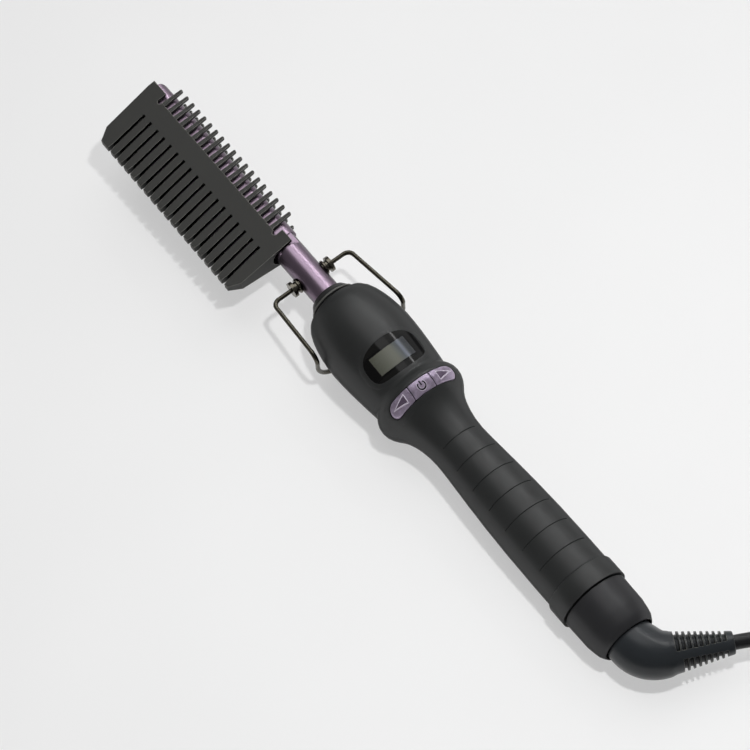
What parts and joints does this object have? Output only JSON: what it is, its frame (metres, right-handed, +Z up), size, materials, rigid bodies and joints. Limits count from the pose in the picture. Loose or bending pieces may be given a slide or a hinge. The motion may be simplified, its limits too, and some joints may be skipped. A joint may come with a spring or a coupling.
{
  "type": "hot comb",
  "caption": "Electric hot comb: heated comb bar in a slotted guard, fold-away wire stand, handle with display and buttons, mains cord on a swivel.",
  "frame": {"origin": "middle of the tool on the surface it rests on, cord and strain relief left out", "axes": "+X along the tool toward its tail and cord, +Y away from the long teeth, +Z up; the tool leans a little because it lies on its folded stand and end band"},
  "size_m": [0.4556, 0.0956, 0.0392],
  "materials": {
    "guard_plastic": "matte heat-resistant plastic",
    "purple_metal": "satin purple anodised",
    "ceramic": "dense ceramic",
    "mica": "mica sheet",
    "white_insulation": "glass-fibre sleeving",
    "sensor": "lacquered bead",
    "bright_steel": "zinc-plated",
    "stand_steel": "bright drawn wire",
    "handle_plastic": "soft-touch matte",
    "lens": "glossy smoked window",
    "display": "liquid crystal display",
    "board": "green solder resist",
    "components": "moulded",
    "button_plastic": "metallic purple",
    "copper": "bare copper alloy",
    "lead_insulation": "insulated wire",
    "relief_rubber": "matte moulded",
    "swivel_plastic": "acetal",
    "cord_rubber": "satin jacket",
    "tie_plastic": "moulded strap",
    "plug_plastic": "moulded",
    "plug_brass": "nickel-free brass"
  },
  "bodies": {
    "root": {"comb_guard": "guard_plastic", "comb_head": "purple_metal", "heater_element": "ceramic", "mica_sheets": "mica", "heater_leads": "white_insulation", "thermistor": "sensor", "thermal_fuse": "bright_steel", "neck_tube": "purple_metal", "stand_bushes": "stand_steel", "front_collar": "handle_plastic", "barrel_mount": "ceramic", "barrel_clip": "bright_steel", "handle_upper_shell": "handle_plastic", "handle_lower_shell": "handle_plastic", "display_lens": "lens", "lcd_module": "display", "circuit_board": "board", "board_components": "components", "tact_switches": "bright_steel", "board_screws": "bright_steel", "shell_screws": "bright_steel", "end_band": "handle_plastic", "tail_cap": "handle_plastic", "brush_carrier": "ceramic", "contact_brushes": "copper", "supply_leads": "lead_insulation"},
    "stand": {"stand_wire": "stand_steel"},
    "power_key": {"button_power": "button_plastic"},
    "up_key": {"button_up": "button_plastic"},
    "down_key": {"button_down": "button_plastic"},
    "cord": {"swivel_shank": "swivel_plastic", "swivel_retainer": "bright_steel", "contact_rings": "copper", "strain_relief": "relief_rubber", "cord_tube": "cord_rubber", "cord_coil": "cord_rubber", "cord_tie": "tie_plastic", "plug_body": "plug_plastic", "plug_blades": "plug_brass"}
  },
  "joints": [
    {"name": "stand_fold", "type": "hinge", "parent": "root", "child": "stand", "pos_m": [-0.04231, 0.00352, 0.02206], "axis": [0, 1, 0], "range_deg": [0, 90]},
    {"name": "cord_swivel", "type": "hinge", "parent": "root", "child": "cord", "pos_m": [0.15281, 0.00352, 0.01362], "axis": [0.9991, 0, -0.0432], "continuous": true},
    {"name": "power_press", "type": "slide", "parent": "root", "child": "power_key", "axis": [-0.0432, 0, -0.9991], "range_m": [0, 0.0004], "stiffness_N_per_m": 800},
    {"name": "up_press", "type": "slide", "parent": "root", "child": "up_key", "axis": [-0.0432, 0, -0.9991], "range_m": [0, 0.0004], "stiffness_N_per_m": 800},
    {"name": "down_press", "type": "slide", "parent": "root", "child": "down_key", "axis": [-0.0432, 0, -0.9991], "range_m": [0, 0.0004], "stiffness_N_per_m": 800}
  ]
}
